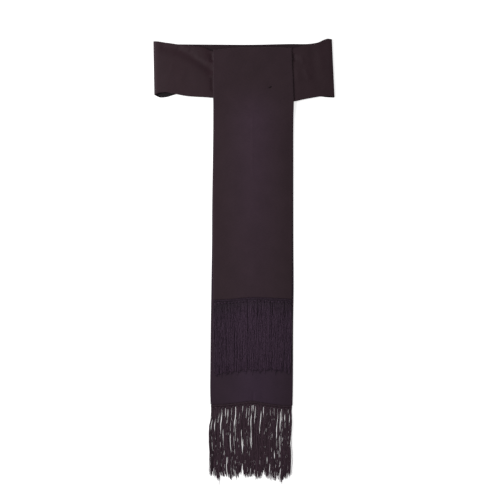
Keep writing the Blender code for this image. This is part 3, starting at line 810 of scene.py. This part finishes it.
class YarnMesh:
    """Yarns grown ring by ring, with what their material needs to know on every vertex."""

    def __init__(self):
        self.bm = bmesh.new()
        layers = self.bm.verts.layers
        self.owner = layers.int.new("owner")
        self.corner = layers.int.new("corner")
        self.shade = layers.float.new("yarn_shade")
        self.run = layers.float.new("yarn_run")
        self.ply = layers.float_vector.new("yarn_ply")

    def grow(self, lines, shades, radius, sides, upward=Vector((0, 0, 1)), shadows=None, reach=0.0):
        """A tube along each line. The lines have as many points, and all tubes grow together.

        Hanging yarns have shadows, which say how dark each head is over the reach below its knot,
        and they taper at their tips.
        """
        bm, stations = self.bm, len(lines[0])
        verts = []
        for number in range(len(lines)):
            circle = bmesh.ops.create_circle(bm, cap_ends=True, segments=sides, radius=radius)
            for k, vert in enumerate(circle["verts"]):
                vert[self.owner], vert[self.corner] = number, k
                angle = math.tau * k / sides
                vert[self.ply] = Vector((math.cos(2 * angle), math.sin(2 * angle), 0))
            verts += circle["verts"]
        ends = list({edge for vert in verts for edge in vert.link_edges})
        runs = [0.0] * len(lines)
        for station in range(stations):
            if station:
                grown = bmesh.ops.extrude_edge_only(bm, edges=ends)["geom"]
                verts = [item for item in grown if isinstance(item, bmesh.types.BMVert)]
                fresh = set(verts)
                edges = (item for item in grown if isinstance(item, bmesh.types.BMEdge))
                ends = [edge for edge in edges if fresh.issuperset(edge.verts)]
            tip = eased((station - stations + 1 + TAPER_STEPS) / TAPER_STEPS) if shadows else 0.0
            thin = mixed(1.0, TIP_RADIUS, tip)
            rings = []
            for number, line in enumerate(lines):
                here = line[station]
                behind, ahead = line[max(0, station - 1)], line[min(stations - 1, station + 1)]
                heading = (ahead - behind).normalized()
                side = heading.cross(upward).normalized()
                rings.append((here, side * radius * thin, side.cross(heading) * radius * thin))
                if station:
                    runs[number] += (here - line[station - 1]).length
            for vert in verts:
                number = vert[self.owner]
                here, side, rise = rings[number]
                angle = math.tau * vert[self.corner] / sides - math.pi / 2
                vert.co = here + math.cos(angle) * side + math.sin(angle) * rise
                vert[self.run] = runs[number]
                shadow = shadows[number] * (1 - eased(runs[number] / reach)) if shadows else 0.0
                vert[self.shade] = mixed(shades[number], HEAD_SHADE, shadow)
        bmesh.ops.edgeloop_fill(bm, edges=ends)

    def piece(self, name, material, node=None):
        bmesh.ops.recalc_face_normals(self.bm, faces=self.bm.faces)
        for face in self.bm.faces:
            face.smooth = True
        return settle(new_piece(name, self.bm), material, node)


class Fringe:
    """Where the strands of one fringe run."""

    def __init__(self, name, node, fall, stray, lengths, partings, looks, seed):
        self.name, self.node, self.looks = name, node, looks
        self.fall, self.lengths, self.partings = fall, lengths, partings
        self.on_long_fall = fall is short_surface
        self.first = fall.left(fall.end) + HEADER_INSET
        self.last = fall.right(fall.end) - HEADER_INSET
        self.pitch = (self.last - self.first) / BUNDLES
        self.stray_left, self.stray_right = curves_through(stray)
        self.rng = random.Random(seed)
        self.bundles = [self.bundle(i) for i in range(BUNDLES)]

    def bundle(self, i):
        rng = self.rng
        inner = 0 < i < BUNDLES - 1
        place = i + 0.5 + inner * rng.uniform(-BUNDLE_JITTER, BUNDLE_JITTER)
        middle = mixed(self.first, self.last, place / BUNDLES)
        gather, looseness = rng.uniform(*GATHERS), rng.uniform(*LOOSENESSES)
        return Bundle(middle, gather, looseness, rng.gauss(0, BUNDLE_LENGTHS))

    def ground(self, across, below):
        """The height of what the fringe lies on: the table, or the long fall with its crease."""
        if self.on_long_fall:
            drop = self.fall.hem(across) + below
            return LAYER + long_surface.ridge(drop) * ridge_share(across)
        hem_ridge = self.fall.ridge(self.fall.end) * ridge_share(across)
        return hem_ridge * (1 - eased(below / FRINGE_SETTLE))

    def parted(self, across, below):
        """How far the partings push a lock aside."""
        total = 0.0
        for parting in self.partings:
            aside = across - parting.across
            opening = eased((below - parting.below) / PARTING_FADE + 0.5)
            closing = eased((parting.to_below - below) / PARTING_FADE + 0.5)
            push = parting.half_width * math.exp(-abs(aside) / PARTING_REACH)
            total += opening * closing * math.copysign(push, aside)
        return total

    def strand(self, lock, slot, layer):
        """The middle line of one strand, from the tape to its tip.

        The lowest strands lie more evenly than the others, as a veil.
        """
        rng, bundle = self.rng, lock.bundle
        own, own_loft = rng.uniform(*ANYWHERE), rng.uniform(*ANYWHERE)
        veil = layer == 0
        shared = own if veil else lock.own
        length = lock.length + rng.gauss(0, STRAND_LENGTHS)
        if rng.random() < LONG_TAIL_SHARE:
            length += rng.uniform(*LONG_TAILS)
        wander = rng.uniform(-WANDER, WANDER) if rng.random() < WANDER_SHARE else 0.0
        base = bundle.middle + lock.slot * self.pitch / 2
        side_share = (base - self.first) / (self.last - self.first)
        hem_drop = self.fall.hem(base)
        line = []
        for station in range(STRAND_STATIONS + 1):
            below = mixed(HEAD_BELOW, length, station / STRAND_STATIONS)
            loose = eased((below - LOOSE_FROM) / LOOSE_OVER)
            gather = mixed(bundle.gather, 1.0, loose) * (VEIL_GATHER if veil else 1.0)
            gathered = 1 - (1 - spread(below)) * gather
            half = self.pitch / 2 * mixed(1.0, bundle.looseness, loose) * gathered
            end = eased((below - length + TIP_ZONE) / TIP_ZONE)
            across = bundle.middle + lock.slot * half + slot * half / LOCKS * (1 - TIP_CLING * end)
            across += mixed(self.stray_left(below), self.stray_right(below), side_share)
            drift, sway = ripple(DRIFT, bundle.middle, below), ripple(SWAY, shared, below)
            bend, crimp = ripple(BEND, own, below), ripple(CRIMP, own, below)
            across += loose * (DRIFTING * drift + SWAYING * sway)
            across += loose * self.looks.curl * (BENDING * bend + CRIMPING * crimp)
            across += self.parted(base, below) + wander * eased(below / length)
            stacked = layer * LAYER_STEP * mixed(PACKED_SHARE, 1.0, loose) * (1 - SUNK * end)
            height = self.ground(across, below) + STRAND_LIFT + STRAND_RADIUS + stacked
            height += LOFTED * loose * (1 - SUNK * end) * (0.5 + ripple(LOFT, own_loft, below))
            line.append(point(across, hem_drop + below, height))
        return line

    def strands(self):
        """The middle lines of each layer's strands, which lie over the gaps of the layer below."""
        rng = self.rng
        layers = [[] for _ in range(STRAND_LAYERS)]
        for bundle in self.bundles:
            for k in range(LOCKS):
                slot = 2 * (k + 0.5 + rng.uniform(-LOCK_JITTER, LOCK_JITTER)) / LOCKS - 1
                base = bundle.middle + slot * self.pitch / 2
                length = self.lengths(base) + bundle.longer + rng.gauss(0, LOCK_LENGTHS)
                lock = Lock(bundle, slot, rng.uniform(*ANYWHERE), length)
                for layer, lines in enumerate(layers):
                    for j in range(STRANDS_ABREAST):
                        jitter = rng.uniform(-STRAND_JITTER, STRAND_JITTER)
                        place = (j + (layer + 0.5) / STRAND_LAYERS + jitter) / STRANDS_ABREAST
                        lines.append(self.strand(lock, 2 * place - 1, layer))
        return layers


def draw_strands(fringe, material):
    """The lowest layer is a piece of its own, which keeps each piece light."""
    layers, looks = fringe.strands(), fringe.looks
    pieces = []
    for name, lines, sides in (
        ("under_strands", layers[0], HIDDEN_SIDES),
        ("strands", layers[1] + layers[2], STRAND_SIDES),
    ):
        yarns = YarnMesh()
        shades, shadows = [], []
        for line in lines:
            across = line[0].x - FALLS_X
            # painted light and shade across the fringe, following the fall's ridge
            fading = mixed(1.0, ridge_painted_light(across), looks.fading)
            shade = looks.darkest + looks.span * fringe.rng.random() ** LIGHT_RARITY
            shades.append(fading * shade)
            shadows.append(mixed(1.0, RIDGE_SHADOW, ridge_share(across)))
        yarns.grow(lines, shades, STRAND_RADIUS, sides, shadows=shadows, reach=looks.shadow)
        pieces.append(yarns.piece(f"{fringe.name}_{name}", material, fringe.node))
    return pieces


TAPE_COLUMNS, TAPE_ROWS, TAPE_DEPTH, TAPE_THICKNESS, TAPE_HEIGHT = 90, 4, 0.0105, 0.0006, 0.00065
HEADING_HEIGHT, ROUND_SIDES = 0.0017, 6
PLAIT_BELOW, PLAIT_SWING, PLAIT_LIFT, PLAIT_PITCH = 0.0036, 0.0011, 0.0003, 0.006
PLAIT_YARN, PLAIT_STEPS, PLAIT_TONES = 0.0005, 8, (0.0, 0.05, 0.1)
KNOT_BELOW, KNOT_SCATTER, KNOT_LEAN, KNOT_TURNS, KNOT_STEPS = 0.0095, 0.0014, 0.25, 3, 12
KNOT_WIDTH, KNOT_RISE, KNOT_YARN, KNOT_TONES = 0.0034, 0.0011, 0.00052, 0.3
LOOSE_KNOT, KNOT_DRAWN = 1.1, 0.1  # shares of that width: untied, and what a tight knot takes off
TURNS_PACKED = 0.85  # how close the knot's turns lie, against its yarn's thickness


def draw_header(fringe, material, shade):
    """A tape that carries a three-strand plait, and a wrapped knot at the head of each bundle."""
    rng = random.Random(BUNDLES)
    yarns = YarnMesh()

    def laid(across, below, above):
        return point(across, fringe.fall.hem(across) + below, fringe.ground(across, below) + above)

    bm = yarns.bm
    grid = bmesh.ops.create_grid(bm, x_segments=TAPE_COLUMNS, y_segments=TAPE_ROWS, size=1.0)
    for vert in grid["verts"]:
        across = mixed(fringe.first, fringe.last, (vert.co.x + 1) / 2)
        below = mixed(TAPE_DEPTH, -TUCKED_IN, (vert.co.y + 1) / 2)
        vert.co = laid(across, below, TAPE_HEIGHT)
        vert[yarns.shade] = shade
        vert[yarns.run] = across
    faces = {face for vert in grid["verts"] for face in vert.link_faces}
    bmesh.ops.solidify(bm, geom=list(faces), thickness=TAPE_THICKNESS)

    turns = round((fringe.last - fringe.first) / PLAIT_PITCH)
    plaits = []
    for k in range(3):
        line = []
        for step in range(turns * PLAIT_STEPS + 1):
            phase = math.tau * (step / PLAIT_STEPS + k / 3)
            across = mixed(fringe.first, fringe.last, step / (turns * PLAIT_STEPS))
            swing = PLAIT_SWING * math.sin(phase)
            above = HEADING_HEIGHT + PLAIT_LIFT * math.sin(2 * phase)
            line.append(laid(across, PLAIT_BELOW + swing, above))
        plaits.append(line)
    yarns.grow(plaits, [shade + tone for tone in PLAIT_TONES], PLAIT_YARN, ROUND_SIDES)

    knots = []
    for bundle in fringe.bundles:
        lean = rng.uniform(-KNOT_LEAN, KNOT_LEAN)
        middle_below = KNOT_BELOW + rng.uniform(-KNOT_SCATTER, KNOT_SCATTER)
        width = KNOT_WIDTH * (LOOSE_KNOT - KNOT_DRAWN * bundle.gather)
        line = []
        for step in range(KNOT_TURNS * KNOT_STEPS + 1):
            angle = math.tau * step / KNOT_STEPS - math.pi / 2
            aside = width * math.cos(angle)
            turn = step / (KNOT_TURNS * KNOT_STEPS) - 0.5
            below = middle_below + turn * 2 * KNOT_TURNS * TURNS_PACKED * KNOT_YARN + lean * aside
            above = HEADING_HEIGHT + KNOT_RISE * math.sin(angle)
            line.append(laid(bundle.middle + aside, below, above))
        knots.append(line)
    shades = [shade + KNOT_TONES * rng.random() for _ in knots]
    yarns.grow(knots, shades, KNOT_YARN, ROUND_SIDES, upward=Vector((0, 1, 0)))
    return yarns.piece(fringe.name + "_header", material, fringe.node)


TACK_STITCHES, TACK_PITCH, TACK_LENGTH, TACK_LEAN = 4, 0.001, 0.0115, 0.34
TACK_THREAD, TACK_STEPS, TACK_LIFT, TACK_BOW = 0.00038, 10, 0.0003, 0.0032
TACK_LENGTHS, TACK_TONES = (0.8, 1.1), 0.4


def draw_tack(material):
    """A few long stitches side by side, which hold the falls to the waistband."""
    rng = random.Random(TACK_STITCHES)
    lines = []
    for k in range(TACK_STITCHES):
        middle = (k - (TACK_STITCHES - 1) / 2) * TACK_PITCH
        length = TACK_LENGTH * rng.uniform(*TACK_LENGTHS)
        line = []
        for step in range(TACK_STEPS + 1):
            share = step / TACK_STEPS - 0.5
            across = TACK_ACROSS + share * length - TACK_LEAN * middle
            drop = TACK_DROP + middle - TACK_LEAN * share * length
            above = SHELL / 2 + TACK_LIFT - TACK_BOW * share * share
            line.append(short_surface.over(across, drop, above))
        lines.append(line)
    yarns = YarnMesh()
    yarns.grow(lines, [TACK_TONES * rng.random() for _ in lines], TACK_THREAD, ROUND_SIDES)
    return yarns.piece("tack_stitches", material)


# Camera, floor and light

PIXEL = 0.0025  # metres at the cloth for each pixel of the photograph
PHOTO_SIDE = 502
FALLS_COLUMN, LEVEL_ROW = 252.5, 45.0
LENS, SENSOR = 100.0, 36.0

FLOOR_REACH, FLOOR_BELOW = 14.0, 0.0002
WHITE = (1.0, 1.0, 1.0, 1.0)
FLOOR_SURFACE = {
    "Base Color": (0.85, 0.85, 0.85, 1.0),
    "Emission Color": WHITE,
    "Emission Strength": 0.64,  # the table is lit from below, as for a cut-out
    "Roughness": 0.9,
    "Specular IOR Level": 0.1,
}


def make_camera():
    """Straight above, with the photograph's framing."""
    camera = bpy.data.cameras.new("camera")
    camera.lens = LENS
    camera.sensor_width = SENSOR
    obj = new_object("camera", camera)
    middle = PHOTO_SIDE / 2
    across, drop = (middle - FALLS_COLUMN) * PIXEL, (middle - LEVEL_ROW) * PIXEL
    obj.location = point(across, drop, PHOTO_SIDE * PIXEL * LENS / SENSOR + FRONT)
    bpy.context.scene.camera = obj


def make_floor():
    bm = bmesh.new()
    bmesh.ops.create_grid(bm, x_segments=1, y_segments=1, size=FLOOR_REACH)
    bmesh.ops.translate(bm, verts=bm.verts, vec=(0, 0, -FLOOR_BELOW))
    floor = new_piece("floor", bm)
    nodes = Nodes("floor_paper")
    nodes.feed(nodes.shader, FLOOR_SURFACE)
    floor.data.materials.append(nodes.material)


LAMPS = table(
    "name place aim width length power",
    ("window", (-1.4, 0.45, 0.95), (0.0, 0.0, 0.0), 1.1, 1.1, 24.0),
    ("strip", (0.012, -0.25, 1.9), (0.012, -0.25, 0.0), 0.2, 0.8, 0.8),
)
WORLD_LIGHT = 0.32


def make_lights():
    for lamp in LAMPS:
        light = bpy.data.lights.new(lamp.name, "AREA")
        light.shape = "RECTANGLE"
        light.size, light.size_y = lamp.width, lamp.length
        light.energy = lamp.power
        obj = new_object(lamp.name, light)
        obj.location = lamp.place
        aim = Vector(lamp.aim) - Vector(lamp.place)
        obj.rotation_euler = aim.to_track_quat("-Z", "Y").to_euler()
        obj.visible_camera = False
    world = bpy.data.worlds.new("studio")
    world.use_nodes = True
    background = world.node_tree.nodes["Background"]
    background.inputs["Color"].default_value = WHITE
    background.inputs["Strength"].default_value = WORLD_LIGHT
    bpy.context.scene.world = world
    bpy.context.scene.view_settings.view_transform = "Standard"


make_camera()
band_faille = faille_material("band_faille", "X", BAND_DYE, BAND_GLOSS)
inner_face_shaded = faille_material("inner_face_shaded", "X", INNER_FACE_SHADE_DYE, BAND_GLOSS, shaded_lip=True)
short_faille = faille_material("short_fall_faille", "Y", SHORT_DYE, FALL_GLOSS, painted_sheen=SHORT_PAINTED_SHEEN)
long_faille = faille_material("long_fall_faille", "Y", LONG_DYE, FALL_GLOSS, painted_sheen=LONG_PAINTED_SHEEN)
short_yarn = yarn_material("short_fringe_yarn", SHORT_YARN_DYE)
long_yarn = yarn_material("long_fringe_yarn", LONG_YARN_DYE)
thread = yarn_material("sewing_thread", THREAD_DYE)

short_surface = Fall(SHORT_FALL, short_hem, FALL_CREASES, turn_drop, SHORT_DIMPLE)
long_creases = FALL_CREASES + LONG_FALL_CREASES
long_surface = Fall(LONG_FALL, long_hem, long_creases, seam_drop, LONG_DIMPLE)
waistband = make_waistband(band_faille, inner_face_shaded)
long_fall = make_fall("long_fall_cloth", "fall_long", long_faille, long_surface, LONG_CUT)
turned = WRAP_STEPS + SEAM_STEPS
short_fall = make_fall(
    "short_fall_cloth", "fall_short", short_faille, short_surface, SHORT_CUT, turned
)

long_fringe = Fringe(
    "long_fringe", "fringe_long", long_surface, LONG_STRAY, long_lengths, LONG_PARTINGS,
    Looks(curl=1.0, shadow=0.018, fading=0.3, darkest=0.2, span=0.92), seed=11,
)
short_fringe = Fringe(
    "short_fringe", "fringe_short", short_surface, SHORT_STRAY, short_lengths, SHORT_PARTINGS,
    Looks(curl=1.6, shadow=0.05, fading=1.0, darkest=0.38, span=0.42), seed=23,
)
long_strands = draw_strands(long_fringe, long_yarn)
short_strands = draw_strands(short_fringe, short_yarn)
long_header = draw_header(long_fringe, long_yarn, shade=0.35)
short_header = draw_header(short_fringe, short_yarn, shade=0.14)
tack_stitches = draw_tack(thread)

make_floor()
make_lights()
